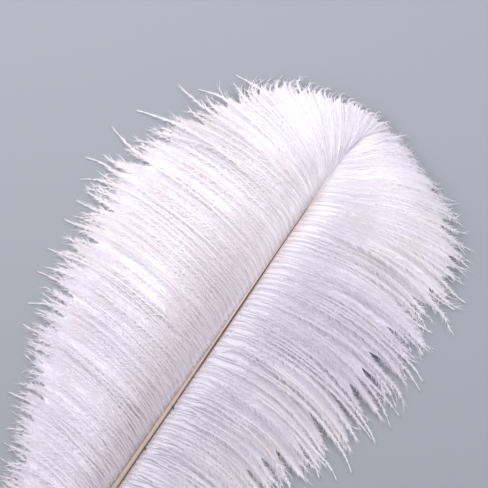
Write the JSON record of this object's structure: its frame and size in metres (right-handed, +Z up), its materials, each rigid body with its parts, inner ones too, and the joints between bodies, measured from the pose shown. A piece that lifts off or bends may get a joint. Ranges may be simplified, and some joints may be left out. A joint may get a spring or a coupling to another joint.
{
  "type": "ostrich feather",
  "caption": "Large white ostrich plume lying convex side up: a bowed tan shaft with a broad soft vane of long drooping barbs on each side and a bare quill end.",
  "frame": {"origin": "under the middle of the feather's box, on the surface that it lies on", "axes": "+Y along the shaft from the quill to the tip, +Z up from the surface it lies on, left vane on -X"},
  "size_m": [0.2696, 0.495, 0.0382],
  "materials": {
    "quill_horn": "feather keratin: satin tan horn with a darker brown line along it, paling to white near the tip",
    "white_barbs": "soft white down-like barbs with loose barbules, slightly translucent, faint warm streaks"
  },
  "bodies": {
    "root": {"shaft": "quill_horn", "left_vane": "white_barbs", "right_vane": "white_barbs"}
  },
  "joints": []
}
